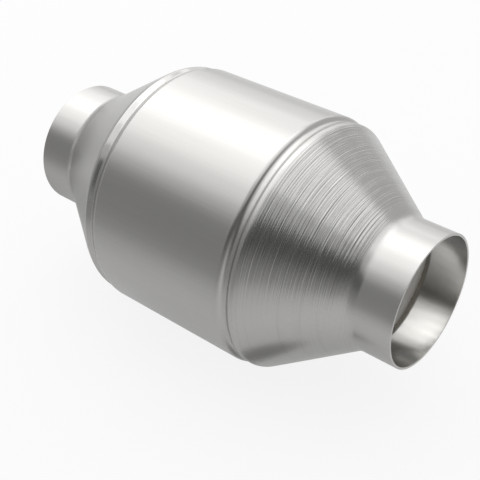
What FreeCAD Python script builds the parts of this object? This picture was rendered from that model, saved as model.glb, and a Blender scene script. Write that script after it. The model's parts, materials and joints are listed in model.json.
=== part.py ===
"""Catalytic converter: a one-piece spun steel shell round a coated ceramic honeycomb.

The axis lies along X, with the inlet neck at -X and the outlet neck at +X.
The origin is the middle of the shell, on its axis, and +Z is up. Sizes are in millimetres.
"""
import FreeCAD, Part
import Sketcher
import os

X_AXIS = FreeCAD.Vector(1, 0, 0)
ORIGIN = FreeCAD.Vector(0, 0, 0)

# The driving sizes: name, millimetres, what it measures
SIZES = (
    ("BrickRadius", 59.2, "ceramic brick, 118.4 mm across"),
    ("BrickLength", 76.2, "ceramic brick, end to end"),
    ("BrickSkin", 1.2, "solid skin round the channels"),
    ("CellPitch", 7.62, "from one channel to the next, six of the real ones"),
    ("CellWall", 1.0, "ceramic between two channels"),
    ("MatThickness", 2.9, "support mat, pressed between brick and shell"),
    ("MatFit", 0.1, "clearance on the inner and outer face of the mat and the seals"),
    ("JointGap", 1.0, "open line where the wrapped mat's ends meet"),
    ("TongueReach", 18.0, "how far the mat's tongue enters its groove"),
    ("TongueWidth", 24.0, "the tongue, along the axis"),
    ("SealLength", 4.6, "knitted seal, along the axis"),
    ("SealGap", 0.3, "from the seal to the mat"),
    ("ShellWall", 1.2, "spun sheet, 18 gauge"),
    ("BeadSetback", 0.9, "from the brick's end to the corner where the bead starts"),
    ("BeadRun", 2.6, "from that corner to the bottom of the bead"),
    ("BeadDepth", 2.15, "how far the bead is rolled in"),
    ("ShoulderRun", 4.4, "from the bottom of the bead to the shoulder"),
    ("ShoulderRise", 1.1, "how far the shoulder stands above the bead"),
    ("ConeLength", 43.0, "spun cone, along the axis"),
    ("PipeRadius", 31.75, "exhaust pipe that slides in, 63.5 mm across"),
    ("PipeFit", 0.1, "clearance round that pipe"),
    ("NeckLength", 20.8, "straight neck, from the cone's corner to its cut end"),
    ("BodyEase", 0.75, "easing of the body's corner, to each side along the axis"),
    ("ShoulderEase", 1.5, "easing of the shoulder, to each side along the axis"),
    ("NeckRound", 8.4, "outer rounding where the cone meets the neck"),
)

# Places along the axis, worked out from the brick outwards
BRICK_END = "(Sizes.BrickLength / 2)"
SEAL_START = f"({BRICK_END} - Sizes.SealLength)"
MAT_END = f"({SEAL_START} - Sizes.SealGap)"
BODY_END = f"({BRICK_END} + Sizes.BeadSetback)"
BEAD_PLACE = f"({BODY_END} + Sizes.BeadRun)"
SHOULDER_PLACE = f"({BEAD_PLACE} + Sizes.ShoulderRun)"
NECK_PLACE = f"({SHOULDER_PLACE} + Sizes.ConeLength)"
NECK_END = f"({NECK_PLACE} + Sizes.NeckLength)"

# Radii, worked out from the brick and from the pipe
MAT_INNER = "(Sizes.BrickRadius + Sizes.MatFit)"
MAT_OUTER = f"({MAT_INNER} + Sizes.MatThickness)"
SHELL_RADIUS = f"({MAT_OUTER} + Sizes.MatFit + Sizes.ShellWall)"
BEAD_RADIUS = f"({SHELL_RADIUS} - Sizes.BeadDepth)"
SHOULDER_RADIUS = f"({BEAD_RADIUS} + Sizes.ShoulderRise)"
NECK_BORE = "(Sizes.PipeRadius + Sizes.PipeFit)"
NECK_RADIUS = f"({NECK_BORE} + Sizes.ShellWall)"

# The angle of each stretch of the outlet end's outline, as it runs away from the middle
LEVEL = "atan(0)"
BEAD_FALL = "atan(-Sizes.BeadDepth / Sizes.BeadRun)"
SHOULDER_CLIMB = "atan(Sizes.ShoulderRise / Sizes.ShoulderRun)"
CONE_FALL = f"atan(({NECK_RADIUS} - {SHOULDER_RADIUS}) / Sizes.ConeLength)"

# The share of a channel that has to lie inside the skin, or the channel is left solid
LEAST_OPEN_SHARE = 0.2


def make_sheet(doc):
    """Write each driving size into a cell that has its name as alias."""
    sheet = doc.addObject("Spreadsheet::Sheet", "Sizes")
    for row, (name, size, note) in enumerate(SIZES, start=1):
        sheet.set(f"A{row}", name)
        sheet.set(f"B{row}", str(size))
        sheet.set(f"C{row}", note)
        sheet.setAlias(f"B{row}", name)
    doc.recompute()
    return sheet


def number(item, text):
    """Work out an expression's number."""
    return float(item.evalExpression(text))


def bind(sketch, constraint, name, text):
    """Add a constraint and drive it with an expression."""
    index = sketch.addConstraint(constraint)
    sketch.renameConstraint(index, name)
    sketch.setExpression(f"Constraints.{name}", text)


def draw_outline(sketch, corners, closed):
    """Draw straight lines from corner to corner, then round the corners that have a radius.

    Each corner is its two places in the sketch and its radius or None, as expressions.
    """
    points = [FreeCAD.Vector(number(sketch, x), number(sketch, y), 0) for x, y, _ in corners]
    count = len(points)
    lines = count if closed else count - 1
    for line in range(lines):
        sketch.addGeometry(Part.LineSegment(points[line], points[(line + 1) % count]), False)
    for line in range(lines if closed else lines - 1):
        sketch.addConstraint(Sketcher.Constraint("Coincident", line, 2, (line + 1) % lines, 1))
    for corner, (x, y, _) in enumerate(corners):
        line, end = (corner, 1) if corner < lines else (corner - 1, 2)
        across = Sketcher.Constraint("DistanceX", -1, 1, line, end, points[corner].x)
        bind(sketch, across, f"corner_{corner}_x", x)
        along = Sketcher.Constraint("DistanceY", -1, 1, line, end, points[corner].y)
        bind(sketch, along, f"corner_{corner}_y", y)
    for corner, (_, _, radius) in enumerate(corners):
        if radius:
            round_corner(sketch, (corner - 1) % lines, f"round_{corner}", radius)


def round_corner(sketch, line, name, radius):
    """Round the corner at the end of a line, and keep the corner itself as a reference point."""
    size = number(sketch, radius)
    sketch.fillet(line, 2, size, True, True)
    geometry = sketch.Geometry
    arc = max(index for index, edge in enumerate(geometry) if isinstance(edge, Part.ArcOfCircle))
    bind(sketch, Sketcher.Constraint("Radius", arc, size), name, radius)


def body_sketch(body, name, role):
    """Start a sketch on one of the body's own origin planes."""
    sketch = body.newObject("Sketcher::SketchObject", name)
    plane = next(item for item in body.Origin.OriginFeatures if item.Role == role)
    sketch.AttachmentSupport = [(plane, "")]
    sketch.MapMode = "FlatFace"
    return sketch


def turned_body(doc, name, corners):
    """Make a body by turning a closed section about the X axis."""
    body = doc.addObject("PartDesign::Body", name)
    sketch = body_sketch(body, f"{name}_section", "XZ_Plane")
    draw_outline(sketch, corners, closed=True)
    turned = body.newObject("PartDesign::Revolution", f"{name}_turned")
    turned.Profile = sketch
    turned.ReferenceAxis = (sketch, ["H_Axis"])
    turned.Angle = 360
    return body


def inside(along, radius, before, after):
    """The inner face's corner, one wall inside an outer corner between two angles."""
    shift = f"Sizes.ShellWall / cos(({after} - {before}) / 2)"
    mean = f"(({before} + {after}) / 2)"
    return f"({along} + {shift} * sin{mean})", f"({radius} - {shift} * cos{mean})", None


def eased(along, radius, ease, before, after):
    """Two corners in place of a sharp one, on the stretches before and after it."""
    return [
        (f"({along} - {ease})", f"({radius} - {ease} * tan({before}))", None),
        (f"({along} + {ease})", f"({radius} + {ease} * tan({after}))", None),
    ]


def make_shell(doc):
    """Spin the shell from one sheet: body, rolled bead, shoulder, cone and neck at each end."""
    outer = [
        *eased(BODY_END, SHELL_RADIUS, "Sizes.BodyEase", LEVEL, BEAD_FALL),
        (BEAD_PLACE, BEAD_RADIUS, None),
        *eased(SHOULDER_PLACE, SHOULDER_RADIUS, "Sizes.ShoulderEase", SHOULDER_CLIMB, CONE_FALL),
        (NECK_PLACE, NECK_RADIUS, "Sizes.NeckRound"),
        (NECK_END, NECK_RADIUS, None),
    ]
    inner = [
        inside(BODY_END, SHELL_RADIUS, LEVEL, BEAD_FALL),
        inside(BEAD_PLACE, BEAD_RADIUS, BEAD_FALL, SHOULDER_CLIMB),
        inside(SHOULDER_PLACE, SHOULDER_RADIUS, SHOULDER_CLIMB, CONE_FALL),
        inside(NECK_PLACE, NECK_RADIUS, CONE_FALL, LEVEL),
        (NECK_END, NECK_BORE, None),
    ]
    section = [*other_end(outer), *outer, *reversed(inner), *reversed(other_end(inner))]
    return turned_body(doc, "shell", section)


def other_end(corners):
    """The same corners at the inlet end, from the neck to the middle."""
    return [(f"-{along}", radius, rounding) for along, radius, rounding in reversed(corners)]


def square(centre_y, centre_z, half):
    """A square outline in the YZ plane."""
    signs = ((-1, -1), (1, -1), (1, 1), (-1, 1), (-1, -1))
    return Part.makePolygon([FreeCAD.Vector(0, centre_y + y * half, centre_z + z * half) for y, z in signs])


def channel_outlines(sizes):
    """The outlines of all channels: whole squares, and at the rim what the skin leaves of them."""
    open_radius = sizes.BrickRadius - sizes.BrickSkin
    half = (sizes.CellPitch - sizes.CellWall) / 2
    disc = Part.Face(Part.Wire(Part.makeCircle(open_radius, ORIGIN, X_AXIS)))
    reach = int(open_radius / sizes.CellPitch) + 1
    outlines = []
    for row in range(-reach, reach + 1):
        for column in range(-reach, reach + 1):
            y = column * sizes.CellPitch
            z = row * sizes.CellPitch
            outline = square(y, z, half)
            if FreeCAD.Vector(0, abs(y) + half, abs(z) + half).Length < open_radius:
                outlines.append(outline)
                continue
            cut = Part.Face(outline).common(disc)
            if cut.Area > LEAST_OPEN_SHARE * (2 * half) ** 2:
                outlines.append(cut.Faces[0].OuterWire)
    return outlines


def make_monolith(doc, sizes):
    """Extrude the honeycomb: a disc with a square grid of channels, closed by a thin skin."""
    rim = Part.Wire(Part.makeCircle(sizes.BrickRadius, ORIGIN, X_AXIS))
    plan = doc.addObject("Part::Feature", "monolith_plan")
    plan.Shape = Part.Face([rim, *channel_outlines(sizes)], "Part::FaceMakerBullseye")
    brick = doc.addObject("Part::Extrusion", "monolith")
    brick.Base = plan
    brick.Dir = X_AXIS
    brick.Symmetric = True
    brick.Solid = True
    brick.setExpression("LengthFwd", "Sizes.BrickLength")
    return brick


def make_mat(doc):
    """Wrap the support mat round the brick, and cut the stepped line where its ends meet."""
    body = turned_body(doc, "support_mat", (
        (f"-{MAT_END}", MAT_INNER, None),
        (MAT_END, MAT_INNER, None),
        (MAT_END, MAT_OUTER, None),
        (f"-{MAT_END}", MAT_OUTER, None),
    ))
    end = f"({MAT_END} + Sizes.JointGap)"
    near = "(Sizes.TongueWidth - Sizes.JointGap) / 2"
    far = "(Sizes.TongueWidth + Sizes.JointGap) / 2"
    low = "(-Sizes.TongueReach - Sizes.JointGap) / 2"
    low_top = "(-Sizes.TongueReach + Sizes.JointGap) / 2"
    high = "(Sizes.TongueReach - Sizes.JointGap) / 2"
    high_top = "(Sizes.TongueReach + Sizes.JointGap) / 2"
    sketch = body_sketch(body, "joint_line", "XY_Plane")
    draw_outline(sketch, (
        (f"-{end}", low, None),
        (f"-{near}", low, None),
        (f"-{near}", high, None),
        (near, high, None),
        (near, low, None),
        (end, low, None),
        (end, low_top, None),
        (far, low_top, None),
        (far, high_top, None),
        (f"-{far}", high_top, None),
        (f"-{far}", low_top, None),
        (f"-{end}", low_top, None),
    ), closed=True)
    joint = body.newObject("PartDesign::Pocket", "mat_joint")
    joint.Profile = sketch
    joint.Type = "ThroughAll"
    joint.Reversed = True
    return body


def make_seal(doc, name, side):
    """Turn a knitted wire seal, which fills the last stretch between brick and shell."""
    return turned_body(doc, name, (
        (f"{side} * {SEAL_START}", MAT_INNER, None),
        (f"{side} * {BRICK_END}", MAT_INNER, None),
        (f"{side} * {BRICK_END}", MAT_OUTER, None),
        (f"{side} * {SEAL_START}", MAT_OUTER, None),
    ))


def check(doc, pieces):
    """Stop if any object failed to build, or if a piece isn't one or more valid solids."""
    for item in doc.Objects:
        if "Invalid" in item.State or "Error" in item.State:
            raise RuntimeError(f"{item.Name} failed to build")
    for piece in pieces:
        if piece.Shape.isNull() or not piece.Shape.isValid() or not piece.Shape.Solids:
            raise RuntimeError(f"{piece.Name} has no valid solid")


def main():
    doc = FreeCAD.newDocument("converter")
    sizes = make_sheet(doc)
    pieces = [
        make_shell(doc),
        make_monolith(doc, sizes),
        make_mat(doc),
        make_seal(doc, "inlet_seal", -1),
        make_seal(doc, "outlet_seal", 1),
    ]
    doc.recompute()
    check(doc, pieces)
    os.makedirs("parts", exist_ok=True)
    for piece in pieces:
        piece.Label = piece.Name
        piece.Shape.exportStep(f"parts/{piece.Label}.step")
        print(f"{piece.Label}: {len(piece.Shape.Solids)} solid, {piece.Shape.Volume / 1000:.1f} cm3")


main()
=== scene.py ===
import json
import math

import bpy
from mathutils import Matrix, Vector


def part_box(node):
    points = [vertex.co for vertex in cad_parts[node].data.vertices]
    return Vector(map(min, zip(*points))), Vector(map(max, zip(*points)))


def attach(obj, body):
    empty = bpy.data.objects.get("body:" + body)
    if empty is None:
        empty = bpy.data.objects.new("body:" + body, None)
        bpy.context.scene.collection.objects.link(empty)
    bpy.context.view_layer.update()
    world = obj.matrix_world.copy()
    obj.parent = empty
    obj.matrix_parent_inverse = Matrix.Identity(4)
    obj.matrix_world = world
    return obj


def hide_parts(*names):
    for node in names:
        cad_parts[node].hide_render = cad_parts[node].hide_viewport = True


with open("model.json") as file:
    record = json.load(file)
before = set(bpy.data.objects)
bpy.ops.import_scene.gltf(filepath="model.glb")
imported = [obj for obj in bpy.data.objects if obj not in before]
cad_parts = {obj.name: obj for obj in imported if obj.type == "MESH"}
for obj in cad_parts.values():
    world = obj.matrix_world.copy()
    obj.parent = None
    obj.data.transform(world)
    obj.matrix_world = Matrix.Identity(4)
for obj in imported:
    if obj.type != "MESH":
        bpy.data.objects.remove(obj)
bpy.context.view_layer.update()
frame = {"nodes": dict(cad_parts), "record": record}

MM = 0.001


def widest(name):
    """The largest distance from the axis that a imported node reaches."""
    return max(math.hypot(vertex.co.y, vertex.co.z) for vertex in frame["nodes"][name].data.vertices)


def mount_radius(name):
    """A mount's radius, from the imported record."""
    mount = next(mount for mount in frame["record"]["mounts"] if mount["name"] == name)
    return mount["dims"]["r_mm"] * MM


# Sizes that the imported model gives
BODY_RADIUS = widest("shell")
NECK_RADIUS = mount_radius("outlet_spigot")
SHEET = NECK_RADIUS - mount_radius("outlet_bore")
NECK_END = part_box("shell")[1].x
BRICK_RADIUS = widest("monolith")
BRICK_LENGTH = 2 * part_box("monolith")[1].x

# The shell's outline from each body end outwards: each corner's place, radius and outer rounding.
# The two ends are spun in separate runs, so their beads differ a little.
NECK_PLACE = BRICK_LENGTH / 2 + 50.9 * MM
INLET_CORNERS = (
    (38.6 * MM, BODY_RADIUS, 2.4 * MM),
    (41.8 * MM, 61.7 * MM, 1.5 * MM),
    (42.8 * MM, 61.7 * MM, 1.5 * MM),
    (45.2 * MM, 62.5 * MM, 1.5 * MM),
    (47.4 * MM, 61.5 * MM, 12.0 * MM),
    (NECK_PLACE, NECK_RADIUS, 8.4 * MM),
)
OUTLET_CORNERS = (
    (38.6 * MM, BODY_RADIUS, 2.6 * MM),
    (40.4 * MM, 61.35 * MM, 1.8 * MM),
    (42.5 * MM, 61.35 * MM, 2.4 * MM),
    (44.6 * MM, 62.31 * MM, 2.0 * MM),
    (46.2 * MM, 62.31 * MM, 2.6 * MM),
    (NECK_PLACE, NECK_RADIUS, 8.4 * MM),
)
CONE_SLOPE = 34.4
ROUND_STEPS = 6
TURN_STEPS = 256
RIM_EASE = 0.15 * MM
SMOOTH_ANGLE = math.radians(35)

# The real honeycomb: 400 channels to the square inch
CELL_PITCH = 1.27 * MM
CELL_WALL = 0.17 * MM
BRICK_SKIN = 0.6 * MM

# The outlet cone's spin lines: where they start, how deep they are, and three noises that draw them.
# Each noise has a width along the axis and a reach round it, in mm, and its detail.
SPIN_START = 46.4 * MM
SPIN_DEPTH = 0.24 * MM
FINE_LINES = (0.5, 45, 1.5)
BROAD_LINES = (1.6, 90, 1.0)
SPARSE_LINES = (0.8, 110, 1.0)

# The patterns in the other finishes. The grains are drawn coarser than they are, so that they show.
MILL_GRAIN_LENGTH = 50 * MM
MILL_GRAIN_WIDTH = 0.8 * MM
WALL_GRAIN = 1.667 * MM
COAT_GRAIN = 1.111 * MM
FELT_SPOT = 1.429 * MM
FLAKE_SPACING = 2.5 * MM
WIRE_LOOP = 0.9 * MM

# The polished foot of the inlet's bead
BURNISHED_PLACE = -44.2 * MM

# The floor touches the body, and the cards that lie on it are thin steps above each other
FLOOR_LEVEL = -BODY_RADIUS
FLOOR_WIDTH = 60.0
CARD_STEP = 0.1 * MM
ROOM_COLOUR = "#DDDDDD"

# The soft boxes: name, place, width and length, turn in degrees, and brightness
SOFT_BOXES = (
    ("overhead_box", (-1.05, 0.5, 1.1), (2.5, 3.0), (0, 0, 0), 0.6),
    ("overhead_inner", (-0.85, 0.23, 1.05), (2.1, 1.35), (0, 0, 0), 0.55),
    ("overhead_middle", (-0.7, 0.3, 1.0), (1.8, 0.6), (0, 0, 0), 0.55),
    ("right_box", (0.6, 0.28, 1.1), (0.8, 1.35), (0, 0, 0), 0.75),
    ("back_box", (-1.2, 1.8, 0.85), (2.4, 1.3), (-70, 0, 34), 0.55),
)

# Small lamps along each cone's inner wall: an angle from the top round to the camera's side, and brightness
BORE_LAMPS = (
    (-62, 0.85), (-37, 1.4), (-12, 1.55), (13, 1.3), (35, 0.7),
    (92, 0.12), (115, 0.22), (138, 0.32), (161, 0.42), (184, 0.5), (207, 0.35),
)
BORE_LAMP_PLACE = 71.5 * MM
BORE_LAMP_RADIUS = 40.5 * MM
BORE_LAMP_SIZE = (50 * MM, 18.5 * MM)

# The cards that the metal mirrors: name, place, size, turn in degrees, colours at the blend's low and
# high end, where up the card the blend starts and ends, its own light's share, and whether its edge is soft.
# A card's height goes from -0.5 to 0.5.
WHOLE_CARD = (-0.5, 0.5)
CARDS = (
    # table_card: a grey card on the floor that only reflections show; its colour gradient, darker towards
    # the front, is a painted pool of light
    (
        "table_card", (0, 0, FLOOR_LEVEL + CARD_STEP), (12, 12), (0, 0, -22),
        ("#A0A0A0", "#E1E1E1"), (-0.0263, -0.005), 0.55, False,
    ),
    # A painted shadow beside the inlet end: a soft grey patch on the floor that only reflections show
    (
        "inlet_shadow_card", (-0.2, 0.02, FLOOR_LEVEL + 2 * CARD_STEP), (0.26, 0.26), (0, 0, 0),
        ("#A8A8A8", "#A8A8A8"), WHOLE_CARD, 0.55, True,
    ),
    # A painted shadow under the outlet cone: a soft grey patch on the floor that only reflections show, seen
    # as a dark band low on the cone
    (
        "shade_card", (0.056, -0.05, FLOOR_LEVEL + 3 * CARD_STEP), (0.06, 0.03), (0, 0, 0),
        ("#A0A0A0", "#A0A0A0"), WHOLE_CARD, 0.55, True,
    ),
    (
        "left_flag", (-1.0, -0.98, 0.32), (1.6, 0.76), (90, 0, -10),
        ("#A0A0A0", "#989898"), WHOLE_CARD, 1.0, False,
    ),
    (
        "right_flag", (0.65, -1.0, 0.44), (1.9, 1.0), (90, 0, 25),
        ("#A6A6A6", "#5C5C5C"), (-0.5, -0.08), 1.0, False,
    ),
    (
        "end_flag", (1.4, 0.1, 0.44), (1.6, 1.0), (90, 0, 90),
        ("#909090", "#707070"), (-0.5, -0.2), 1.0, False,
    ),
)

# The photograph's view: the fitted place, directions and lens
CAMERA_PLACE = (0.2659, -0.3201, 0.2817)
CAMERA_RIGHT = Vector((0.76893, 0.63933, 0.0))
CAMERA_UP = Vector((-0.37214, 0.44760, 0.81312))
CAMERA_LENS = 75.24
SENSOR_WIDTH = 36.0


def clear_selection():
    """Leave nothing selected, because an operator acts on all that is."""
    if bpy.context.object and bpy.context.object.mode == "EDIT":
        bpy.ops.object.mode_set(mode="OBJECT")
    bpy.ops.object.select_all(action="DESELECT")


def select_only(piece):
    """Select one piece and make it the one that operators act on."""
    clear_selection()
    piece.select_set(True)
    bpy.context.view_layer.objects.active = piece


def deselect_mesh(mesh):
    """Leave no vertex, edge or face of a mesh selected."""
    for group in (mesh.vertices, mesh.edges, mesh.polygons):
        for item in group:
            item.select = False


def select_edge(mesh, edge):
    """Select an edge with its two ends."""
    edge.select = True
    for index in edge.vertices:
        mesh.vertices[index].select = True


def select_rings(piece, rings):
    """Select the round edge loops at these (place, radius) pairs, and leave edit mode open."""
    bpy.ops.object.mode_set(mode="OBJECT")
    mesh = piece.data
    near = 0.02 * MM
    chosen = set()
    for vertex in mesh.vertices:
        out = math.hypot(vertex.co.y, vertex.co.z)
        if any(abs(vertex.co.x - place) < near and abs(out - radius) < near for place, radius in rings):
            chosen.add(vertex.index)
    deselect_mesh(mesh)
    for edge in mesh.edges:
        first, second = edge.vertices
        on_ring = first in chosen and second in chosen
        if on_ring and abs(mesh.vertices[first].co.x - mesh.vertices[second].co.x) < near:
            select_edge(mesh, edge)
    bpy.ops.object.mode_set(mode="EDIT")
    bpy.ops.mesh.select_mode(type="EDGE")


def select_corner_edge(piece, step, half):
    """Select the small square's edge that faces along a step, and leave edit mode open."""
    bpy.ops.object.mode_set(mode="OBJECT")
    mesh = piece.data
    along = step.normalized()
    deselect_mesh(mesh)
    for edge in mesh.edges:
        ends = [mesh.vertices[index].co for index in edge.vertices]
        on_square = all(max(abs(end.y), abs(end.z)) < half * 1.01 for end in ends)
        if on_square and all(abs(end.dot(along) - half) < half * 0.01 for end in ends):
            select_edge(mesh, edge)
    bpy.ops.object.mode_set(mode="EDIT")
    bpy.ops.mesh.select_mode(type="EDGE")


def apply_modifier(piece, kind, **settings):
    """Add a modifier, set it and apply it to the mesh."""
    select_only(piece)
    modifier = piece.modifiers.new(kind.lower(), kind)
    for name, setting in settings.items():
        setattr(modifier, name, setting)
    bpy.ops.object.modifier_apply(modifier=modifier.name)


def finish_piece(piece, name, slot, material, *replaced):
    """Name a finished piece, give it its finish, tie it to the root and hide the imported parts that it
    stands for.
    """
    piece.name = name
    piece.data.name = name
    piece.data.materials.clear()
    piece.data.materials.append(material)
    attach(piece, "root")
    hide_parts(*replaced)


def turn_at(before, corner, after):
    """The angle through which an outline turns at a corner."""
    first = math.atan2(corner[1] - before[1], corner[0] - before[0])
    second = math.atan2(after[1] - corner[1], after[0] - corner[0])
    return abs(second - first)


def draw_in(shell, side, corners):
    """Draw one end of the tube in, ring by ring, as the spinning roller does, and round its corners."""
    rings = [corner[:2] for corner in corners] + [(NECK_END, NECK_RADIUS)]
    for (place, radius), (next_place, next_radius) in zip(rings, rings[1:]):
        select_rings(shell, [(side * place, radius)])
        step = Vector((side * (next_place - place), 0, 0))
        bpy.ops.mesh.extrude_edges_move(TRANSFORM_OT_translate={"value": step})
        scale = next_radius / radius
        centre = (side * next_place, 0, 0)
        bpy.ops.transform.resize(value=(1, scale, scale), center_override=centre)
    outline = [(0, BODY_RADIUS)] + rings
    for before, (place, radius, rounding), after in zip(outline, corners, outline[2:]):
        turn = turn_at(before, (place, radius), after)
        select_rings(shell, [(side * place, radius)])
        bpy.ops.mesh.bevel(
            offset_type="OFFSET", offset=rounding * math.tan(turn / 2),
            segments=ROUND_STEPS, profile=0.5, affect="EDGES",
        )


def spin_shell(material, inside_material):
    """The tube: a plain body whose two ends are drawn in, with the sheet's thickness inwards."""
    clear_selection()
    inlet_end, outlet_end = -INLET_CORNERS[0][0], OUTLET_CORNERS[0][0]
    bpy.ops.mesh.primitive_cylinder_add(
        vertices=TURN_STEPS, radius=BODY_RADIUS, depth=outlet_end - inlet_end, end_fill_type="NOTHING",
        location=((inlet_end + outlet_end) / 2, 0, 0), rotation=(0, math.pi / 2, 0),
    )
    shell = bpy.context.object
    bpy.ops.object.transform_apply(location=True, rotation=True, scale=True)
    draw_in(shell, -1, INLET_CORNERS)
    draw_in(shell, 1, OUTLET_CORNERS)
    bpy.ops.mesh.select_all(action="SELECT")
    bpy.ops.mesh.normals_make_consistent(inside=False)
    apply_modifier(shell, "SOLIDIFY", thickness=SHEET, offset=-1, use_even_offset=True)
    ends = [(side * NECK_END, radius) for side in (-1, 1) for radius in (NECK_RADIUS, NECK_RADIUS - SHEET)]
    select_rings(shell, ends)
    bpy.ops.mesh.bevel(offset_type="OFFSET", offset=RIM_EASE, segments=2, profile=0.5, affect="EDGES")
    bpy.ops.object.mode_set(mode="OBJECT")
    bpy.ops.object.shade_smooth_by_angle(angle=SMOOTH_ANGLE)
    apply_modifier(shell, "WEIGHTED_NORMAL", mode="FACE_AREA", weight=50, keep_sharp=True)
    finish_piece(shell, "spun_shell", "spun_stainless", material, "shell")
    # The faces that look towards the axis take the inner wall's finish
    shell.data.materials.append(inside_material)
    for face in shell.data.polygons:
        face.material_index = int(face.normal.y * face.center.y + face.normal.z * face.center.z < 0)


def add_round_cutter(radius, length):
    """A plain round bar along the axis, to cut with."""
    clear_selection()
    bpy.ops.mesh.primitive_cylinder_add(
        vertices=TURN_STEPS, radius=radius, depth=length, rotation=(0, math.pi / 2, 0),
    )
    return bpy.context.object


def add_skin():
    """The brick's thin solid skin, as a plain tube."""
    clear_selection()
    bpy.ops.mesh.primitive_cylinder_add(
        vertices=TURN_STEPS, radius=BRICK_RADIUS, depth=BRICK_LENGTH,
        end_fill_type="NOTHING", rotation=(0, math.pi / 2, 0),
    )
    skin = bpy.context.object
    bpy.ops.object.transform_apply(location=True, rotation=True, scale=True)
    apply_modifier(skin, "SOLIDIFY", thickness=BRICK_SKIN, offset=-1, use_even_offset=True)
    return skin


def cut_honeycomb(material):
    """Model one cell's two walls flat, repeat them, give them the brick's length and cut them round."""
    clear_selection()
    half = CELL_WALL / 2
    bpy.ops.mesh.primitive_plane_add(size=CELL_WALL, rotation=(0, math.pi / 2, 0))
    brick = bpy.context.object
    bpy.ops.object.transform_apply(location=True, rotation=True, scale=True)
    open_width = CELL_PITCH - CELL_WALL
    for step in (Vector((0, open_width, 0)), Vector((0, 0, open_width))):
        select_corner_edge(brick, step, half)
        bpy.ops.mesh.extrude_edges_move(TRANSFORM_OT_translate={"value": step})
    bpy.ops.object.mode_set(mode="OBJECT")
    cells_each_way = math.ceil(BRICK_RADIUS / CELL_PITCH)
    start = -cells_each_way * CELL_PITCH
    brick.location = (0, start, start)
    select_only(brick)
    bpy.ops.object.transform_apply(location=True, rotation=True, scale=True)
    for offset in ((0, CELL_PITCH, 0), (0, 0, CELL_PITCH)):
        apply_modifier(
            brick, "ARRAY", count=2 * cells_each_way + 1, use_relative_offset=False,
            use_constant_offset=True, constant_offset_displace=offset,
            use_merge_vertices=True, merge_threshold=CELL_WALL / 10,
        )
    apply_modifier(brick, "SOLIDIFY", thickness=BRICK_LENGTH, offset=0, use_even_offset=True)
    cutter = add_round_cutter(BRICK_RADIUS - BRICK_SKIN / 2, BRICK_LENGTH * 1.1)
    skin = add_skin()
    for operation, tool in (("INTERSECT", cutter), ("UNION", skin)):
        apply_modifier(brick, "BOOLEAN", operation=operation, object=tool, solver="MANIFOLD")
        bpy.data.objects.remove(tool)
    finish_piece(brick, "honeycomb", "coated_ceramic", material, "monolith")


def to_linear(code):
    """Turn an sRGB hex colour into linear values with full alpha."""
    shares = [int(code[index:index + 2], 16) / 255 for index in (1, 3, 5)]
    return (*[s / 12.92 if s <= 0.04045 else ((s + 0.055) / 1.055) ** 2.4 for s in shares], 1.0)


def add_node(tree, kind, inputs=None, **settings):
    """Add a node: settings are its own options, inputs are values or the sockets to link."""
    made = tree.nodes.new(kind)
    for name, setting in settings.items():
        setattr(made, name, setting)
    for socket, source in (inputs or {}).items():
        if isinstance(source, bpy.types.NodeSocket):
            tree.links.new(source, made.inputs[socket])
        else:
            made.inputs[socket].default_value = source
    return made


def new_material(name):
    """A new material, its empty node tree and the tree's output node."""
    material = bpy.data.materials.new(name)
    material.use_nodes = True
    tree = material.node_tree
    tree.nodes.clear()
    return material, tree, tree.nodes.new("ShaderNodeOutputMaterial")


def spin_lines(tree, place, along):
    """The roller's rings on the outlet's cone: where it is lined, where it is grooved, and its height."""
    start = add_node(tree, "ShaderNodeMapRange", {
        "Value": along, "From Min": SPIN_START, "From Max": SPIN_START + 1.6 * MM,
    }, interpolation_type="SMOOTHSTEP").outputs["Result"]
    stop = add_node(tree, "ShaderNodeMapRange", {
        "Value": along, "From Min": NECK_PLACE - 1.5 * MM, "From Max": NECK_PLACE - 6 * MM,
    }, interpolation_type="SMOOTHSTEP").outputs["Result"]
    lined = add_node(tree, "ShaderNodeMath", {0: start, 1: stop}, operation="MULTIPLY").outputs[0]
    # Noise that is squeezed along the axis and long round it draws rings that fade in and out
    rings = []
    for width, reach, detail in (FINE_LINES, BROAD_LINES, SPARSE_LINES):
        spot = add_node(tree, "ShaderNodeMapping", {
            "Vector": place, "Scale": (1 / (width * MM), 1 / (reach * MM), 1 / (reach * MM)),
        }).outputs[0]
        rings.append(add_node(tree, "ShaderNodeTexNoise", {
            "Vector": spot, "Scale": 1.0, "Detail": detail, "Roughness": 0.65,
        }).outputs[0])
    fine, broad, sparse = rings
    groove = add_node(tree, "ShaderNodeMapRange", {
        "Value": sparse, "From Min": 0.54, "From Max": 0.72,
    }, interpolation_type="SMOOTHSTEP").outputs["Result"]
    groove = add_node(tree, "ShaderNodeMath", {0: groove, 1: lined}, operation="MULTIPLY").outputs[0]
    height = add_node(tree, "ShaderNodeMath", {
        0: broad, 1: 0.35, 2: fine,
    }, operation="MULTIPLY_ADD").outputs[0]
    height = add_node(tree, "ShaderNodeMath", {0: height, 1: lined}, operation="MULTIPLY").outputs[0]
    height = add_node(tree, "ShaderNodeMath", {
        0: groove, 1: -0.05, 2: height,
    }, operation="MULTIPLY_ADD").outputs[0]
    # The lines are fainter on the lower half: up is 1 at the top, 0 at the sides
    out = add_node(tree, "ShaderNodeVectorMath", {0: place, 1: (0, 1, 1)}, operation="MULTIPLY").outputs[0]
    out = add_node(tree, "ShaderNodeVectorMath", {0: out}, operation="NORMALIZE").outputs[0]
    up = add_node(tree, "ShaderNodeSeparateXYZ", {0: out}).outputs["Z"]
    depth = add_node(tree, "ShaderNodeMapRange", {
        "Value": up, "From Min": 0.0, "From Max": 0.72, "To Min": 0.38,
    }, interpolation_type="SMOOTHSTEP").outputs["Result"]
    height = add_node(tree, "ShaderNodeMath", {0: height, 1: depth}, operation="MULTIPLY").outputs[0]
    return lined, groove, height


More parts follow.
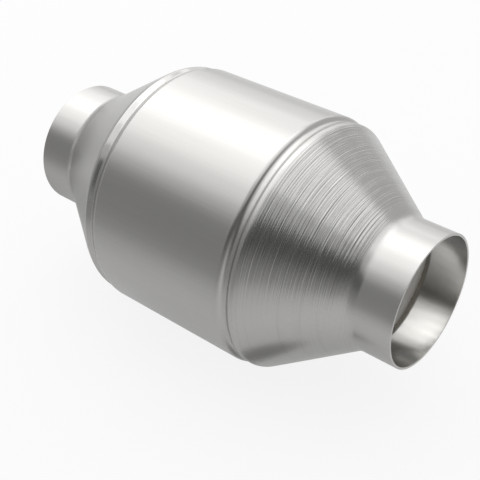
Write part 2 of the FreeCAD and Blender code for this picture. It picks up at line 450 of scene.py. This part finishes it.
def spun_stainless():
    """Ferritic stainless sheet, satin: a smooth body, and a cone with the roller's fine spin lines."""
    material, tree, output = new_material("spun_stainless")
    place = add_node(tree, "ShaderNodeTexCoord").outputs["Object"]
    along = add_node(tree, "ShaderNodeSeparateXYZ", {0: place}).outputs["X"]
    lined, groove, height = spin_lines(tree, place, along)
    bump = add_node(tree, "ShaderNodeBump", {"Height": height, "Strength": 1.0, "Distance": SPIN_DEPTH})
    # The coil mill's grain runs along the body, drawn coarse enough to be only just seen
    spot = add_node(tree, "ShaderNodeMapping", {
        "Vector": place, "Scale": (1 / MILL_GRAIN_LENGTH, 1 / MILL_GRAIN_WIDTH, 1 / MILL_GRAIN_WIDTH),
    }).outputs[0]
    grain = add_node(tree, "ShaderNodeTexNoise", {"Vector": spot, "Scale": 1.0, "Detail": 2.0}).outputs[0]
    sheet = add_node(tree, "ShaderNodeMix", {
        0: grain, 6: to_linear("#BAB9B7"), 7: to_linear("#B2B1AF"),
    }, data_type="RGBA").outputs[2]
    # The sparse grooves are coloured a little darker than the sheet
    colour = add_node(tree, "ShaderNodeMix", {
        0: groove, 6: sheet, 7: to_linear("#B0AFAD"),
    }, data_type="RGBA").outputs[2]
    roughness = add_node(tree, "ShaderNodeMapRange", {
        "Value": lined, "To Min": 0.28, "To Max": 0.22,
    }).outputs["Result"]
    # The roller burnished the foot of the inlet's bead, so it mirrors more sharply there
    away = add_node(tree, "ShaderNodeMath", {0: along, 1: BURNISHED_PLACE}, operation="SUBTRACT").outputs[0]
    away = add_node(tree, "ShaderNodeMath", {0: away}, operation="ABSOLUTE").outputs[0]
    burnished = add_node(tree, "ShaderNodeMapRange", {
        "Value": away, "From Min": 2.4 * MM, "From Max": 1.2 * MM,
    }, interpolation_type="SMOOTHSTEP").outputs["Result"]
    roughness = add_node(tree, "ShaderNodeMath", {
        0: burnished, 1: -0.13, 2: roughness,
    }, operation="MULTIPLY_ADD").outputs[0]
    shader = add_node(tree, "ShaderNodeBsdfPrincipled", {
        "Base Color": colour, "Metallic": 1.0, "Roughness": roughness,
        "Normal": bump.outputs["Normal"],
    })
    tree.links.new(shader.outputs["BSDF"], output.inputs["Surface"])
    return material


def inner_wall():
    """The sheet inside the tube: bright where a mandrel sized the necks, and dull where none touched it."""
    material, tree, output = new_material("mill_finish_stainless")
    place = add_node(tree, "ShaderNodeTexCoord").outputs["Object"]
    along = add_node(tree, "ShaderNodeSeparateXYZ", {0: place}).outputs["X"]
    depth = add_node(tree, "ShaderNodeMath", {0: along}, operation="ABSOLUTE").outputs[0]
    roughness = add_node(tree, "ShaderNodeMapRange", {
        "Value": depth, "From Min": NECK_PLACE - 2 * MM, "From Max": NECK_PLACE,
        "To Min": 0.5, "To Max": 0.22,
    }).outputs["Result"]
    # The rolled skin's fine grain, drawn coarse enough to show
    grain = add_node(tree, "ShaderNodeTexNoise", {
        "Vector": place, "Scale": 1 / WALL_GRAIN, "Detail": 3.0,
    }).outputs[0]
    bump = add_node(tree, "ShaderNodeBump", {"Height": grain, "Strength": 0.5, "Distance": 0.03 * MM})
    shader = add_node(tree, "ShaderNodeBsdfPrincipled", {
        "Base Color": to_linear("#C8C7C4"), "Metallic": 1.0, "Roughness": roughness,
        "Normal": bump.outputs["Normal"],
    })
    tree.links.new(shader.outputs["BSDF"], output.inputs["Surface"])
    return material


def coated_ceramic():
    """Cordierite with its washcoat: a matt, faintly grainy tan."""
    material, tree, output = new_material("coated_cordierite")
    place = add_node(tree, "ShaderNodeTexCoord").outputs["Object"]
    # The coat's powdery grain, drawn coarse enough to show
    grain = add_node(tree, "ShaderNodeTexNoise", {
        "Vector": place, "Scale": 1 / COAT_GRAIN, "Detail": 3.0,
    }).outputs[0]
    tone = add_node(tree, "ShaderNodeMix", {
        0: grain, 6: to_linear("#8E8880"), 7: to_linear("#A8A298"),
    }, data_type="RGBA").outputs[2]
    bump = add_node(tree, "ShaderNodeBump", {"Height": grain, "Strength": 0.4, "Distance": 0.05 * MM})
    shader = add_node(tree, "ShaderNodeBsdfPrincipled", {
        "Base Color": tone, "Roughness": 0.85, "Normal": bump.outputs["Normal"],
    })
    tree.links.new(shader.outputs["BSDF"], output.inputs["Surface"])
    return material


def mat_fibre():
    """Ceramic-fibre mat with vermiculite flakes: pale, soft and matt, with gold-brown specks."""
    material, tree, output = new_material("fibre_mat")
    place = add_node(tree, "ShaderNodeTexCoord").outputs["Object"]
    flakes = add_node(tree, "ShaderNodeTexVoronoi", {"Vector": place, "Scale": 1 / FLAKE_SPACING}).outputs[0]
    flecked = add_node(tree, "ShaderNodeMapRange", {
        "Value": flakes, "From Min": 0.16, "From Max": 0.24,
    }).outputs["Result"]
    # The felt of fine fibres, drawn coarse enough to show
    fibres = add_node(tree, "ShaderNodeTexNoise", {
        "Vector": place, "Scale": 1 / FELT_SPOT, "Detail": 4.0,
    }).outputs[0]
    tone = add_node(tree, "ShaderNodeMix", {
        0: flecked, 6: to_linear("#A08348"), 7: to_linear("#DCD6C6"),
    }, data_type="RGBA").outputs[2]
    bump = add_node(tree, "ShaderNodeBump", {"Height": fibres, "Strength": 0.8, "Distance": 0.2 * MM})
    shader = add_node(tree, "ShaderNodeBsdfPrincipled", {
        "Base Color": tone, "Roughness": 0.95, "Normal": bump.outputs["Normal"],
    })
    tree.links.new(shader.outputs["BSDF"], output.inputs["Surface"])
    return material


def knitted_wire():
    """Stainless wire, 0.25 mm, knitted and pressed: tight loops, with painted shade darkening the gaps
    between them.
    """
    material, tree, output = new_material("knitted_wire")
    place = add_node(tree, "ShaderNodeTexCoord").outputs["Object"]
    loops = add_node(tree, "ShaderNodeTexVoronoi", {
        "Vector": place, "Scale": 1 / WIRE_LOOP,
    }, feature="DISTANCE_TO_EDGE").outputs[0]
    # The gaps between the loops are painted dark as shade, and the same values raise the loops in the bump
    tone = add_node(tree, "ShaderNodeMapRange", {
        "Value": loops, "From Min": 0.05, "From Max": 0.3, "To Min": 0.35, "To Max": 0.06,
    }).outputs["Result"]
    bump = add_node(tree, "ShaderNodeBump", {"Height": tone, "Strength": 1.0, "Distance": 0.25 * MM})
    shader = add_node(tree, "ShaderNodeBsdfPrincipled", {
        "Base Color": tone, "Metallic": 1.0, "Roughness": 0.35, "Normal": bump.outputs["Normal"],
    })
    tree.links.new(shader.outputs["BSDF"], output.inputs["Surface"])
    return material


def paper_floor():
    """White paper: white to the camera and in reflections, with the object's shadow on it."""
    material, tree, output = new_material("white_paper")
    rays = add_node(tree, "ShaderNodeLightPath").outputs
    seen = add_node(tree, "ShaderNodeMath", {
        0: rays["Is Camera Ray"], 1: rays["Is Glossy Ray"],
    }, operation="MAXIMUM").outputs[0]
    seen = add_node(tree, "ShaderNodeMath", {
        0: seen, 1: rays["Is Transmission Ray"],
    }, operation="MAXIMUM").outputs[0]
    share = add_node(tree, "ShaderNodeMath", {0: seen, 1: 0.9}, operation="MULTIPLY").outputs[0]
    paper = add_node(tree, "ShaderNodeBsdfDiffuse", {"Color": to_linear("#EDEDED")}).outputs[0]
    white = add_node(tree, "ShaderNodeEmission", {
        "Color": to_linear("#FAFAFA"), "Strength": 1.0,
    }).outputs[0]
    both = add_node(tree, "ShaderNodeMixShader", {0: share, 1: paper, 2: white}).outputs[0]
    tree.links.new(both, output.inputs["Surface"])
    return material


def add_floor():
    """A wide white sheet just under the body."""
    clear_selection()
    bpy.ops.mesh.primitive_plane_add(size=FLOOR_WIDTH, location=(0, 0, FLOOR_LEVEL))
    floor = bpy.context.object
    floor.name = "paper_floor"
    floor.data.materials.append(paper_floor())


def card_paper(name, colours, blend, glow, soft, inward):
    """A card's paper: its colour changes up it, and it may fade to its edge or show on one side only."""
    material, tree, output = new_material(name)
    spot = add_node(tree, "ShaderNodeTexCoord").outputs["Object"]
    height = add_node(tree, "ShaderNodeSeparateXYZ", {0: spot}).outputs["Y"]
    share = add_node(tree, "ShaderNodeMapRange", {
        "Value": height, "From Min": blend[0], "From Max": blend[1],
    }).outputs["Result"]
    colour = add_node(tree, "ShaderNodeMix", {
        0: share, 6: to_linear(colours[0]), 7: to_linear(colours[1]),
    }, data_type="RGBA").outputs[2]
    paper = add_node(tree, "ShaderNodeBsdfDiffuse", {"Color": colour}).outputs[0]
    light = add_node(tree, "ShaderNodeEmission", {"Color": colour, "Strength": 1.0}).outputs[0]
    face = add_node(tree, "ShaderNodeMixShader", {0: glow, 1: paper, 2: light}).outputs[0]
    if soft:
        away = add_node(tree, "ShaderNodeVectorMath", {0: spot}, operation="LENGTH").outputs["Value"]
        edge = add_node(tree, "ShaderNodeMapRange", {
            "Value": away, "From Min": 0.15, "From Max": 0.5,
        }, interpolation_type="SMOOTHSTEP").outputs["Result"]
        clear = add_node(tree, "ShaderNodeBsdfTransparent").outputs[0]
        face = add_node(tree, "ShaderNodeMixShader", {0: edge, 1: face, 2: clear}).outputs[0]
    if inward:
        back = add_node(tree, "ShaderNodeNewGeometry").outputs["Backfacing"]
        clear = add_node(tree, "ShaderNodeBsdfTransparent").outputs[0]
        face = add_node(tree, "ShaderNodeMixShader", {0: back, 1: clear, 2: face}).outputs[0]
    tree.links.new(face, output.inputs["Surface"])
    return material


def add_card(name, place, size, turn, colours, blend, glow, soft=False, inward=False):
    """A studio card that only reflections show. Glow is the share of its colour that is its own light."""
    clear_selection()
    turned = [math.radians(angle) for angle in turn]
    bpy.ops.mesh.primitive_plane_add(size=1.0, location=place, rotation=turned)
    card = bpy.context.object
    card.name = name
    card.scale = (*size, 1)
    card.data.materials.append(card_paper(name, colours, blend, glow, soft, inward))
    card.visible_camera = False
    card.visible_diffuse = False
    card.visible_shadow = False


def add_lamp(name, place, size, turn, strength):
    """A soft box: its strength is the brightness of its face, where 1 is white."""
    data = bpy.data.lights.new(name, "AREA")
    data.shape = "RECTANGLE"
    data.size, data.size_y = size
    data.energy = strength * math.pi * size[0] * size[1]
    lamp = bpy.data.objects.new(name, data)
    bpy.context.scene.collection.objects.link(lamp)
    lamp.location = place
    lamp.rotation_euler = [math.radians(angle) for angle in turn]
    lamp.visible_camera = False
    return lamp


def add_bore_lamp(name, side, angle, strength):
    """A small lamp along a cone's inner wall, at an angle round from the top to the camera's side."""
    turn = math.radians(angle)
    place = (side * BORE_LAMP_PLACE, -BORE_LAMP_RADIUS * math.sin(turn), BORE_LAMP_RADIUS * math.cos(turn))
    lamp = add_lamp(name, place, BORE_LAMP_SIZE, (angle, side * CONE_SLOPE, 0), strength)
    lamp.rotation_mode = "ZYX"


def light_bore(name, side):
    """One end's inner lamps, on the cone and before the brick, and a card, seen only in reflections, that
    paints a dark reflection in the neck low down.
    """
    for angle, strength in BORE_LAMPS:
        add_bore_lamp("%s_lamp_%d" % (name, angle % 360), side, angle, strength)
    cone_place = (side * 50 * MM, 26 * MM, -26 * MM)
    brick_place = (side * 79 * MM, 0, 0)
    card_place = (side * 92.5 * MM, 26.5 * MM, -14.1 * MM)
    add_lamp(name + "_cone_lamp", cone_place, (30 * MM, 30 * MM), (0, side * -90, 0), 0.42)
    add_lamp(name + "_brick_lamp", brick_place, (44 * MM, 44 * MM), (0, side * 90, 0), 1.0)
    # The bore card is a painted dark reflection: a dark card inside the neck that only reflections show
    add_card(
        name + "_bore_card", card_place, (13 * MM, 19 * MM), (242, 0, 0),
        ("#787878", "#787878"), WHOLE_CARD, 1.0, inward=True,
    )


def light_studio():
    """A pale room, soft boxes, small lamps in both bores, and the cards and flags that the metal mirrors."""
    world = bpy.data.worlds.new("pale_room")
    bpy.context.scene.world = world
    world.use_nodes = True
    background = world.node_tree.nodes["Background"]
    background.inputs["Color"].default_value = to_linear(ROOM_COLOUR)
    background.inputs["Strength"].default_value = 1.0
    for box in SOFT_BOXES:
        add_lamp(*box)
    light_bore("inlet", -1)
    light_bore("outlet", 1)
    for card in CARDS:
        add_card(*card)


def add_camera():
    """The photograph's view."""
    data = bpy.data.cameras.new("camera")
    data.lens = CAMERA_LENS
    data.sensor_width = SENSOR_WIDTH
    camera = bpy.data.objects.new("camera", data)
    bpy.context.scene.collection.objects.link(camera)
    back = CAMERA_RIGHT.cross(CAMERA_UP)
    turn = Matrix((CAMERA_RIGHT, CAMERA_UP, back)).transposed().to_4x4()
    camera.matrix_world = Matrix.Translation(CAMERA_PLACE) @ turn
    bpy.context.scene.camera = camera


def main():
    """Model and finish the pieces, then set up the studio and the camera."""
    bpy.context.scene.view_settings.view_transform = "Standard"
    spin_shell(spun_stainless(), inner_wall())
    cut_honeycomb(coated_ceramic())
    fibre = mat_fibre()
    wire = knitted_wire()
    for node, material in (("support_mat", fibre), ("inlet_seal", wire), ("outlet_seal", wire)):
        frame["nodes"][node].material_slots[0].material = material
    add_floor()
    light_studio()
    add_camera()


main()
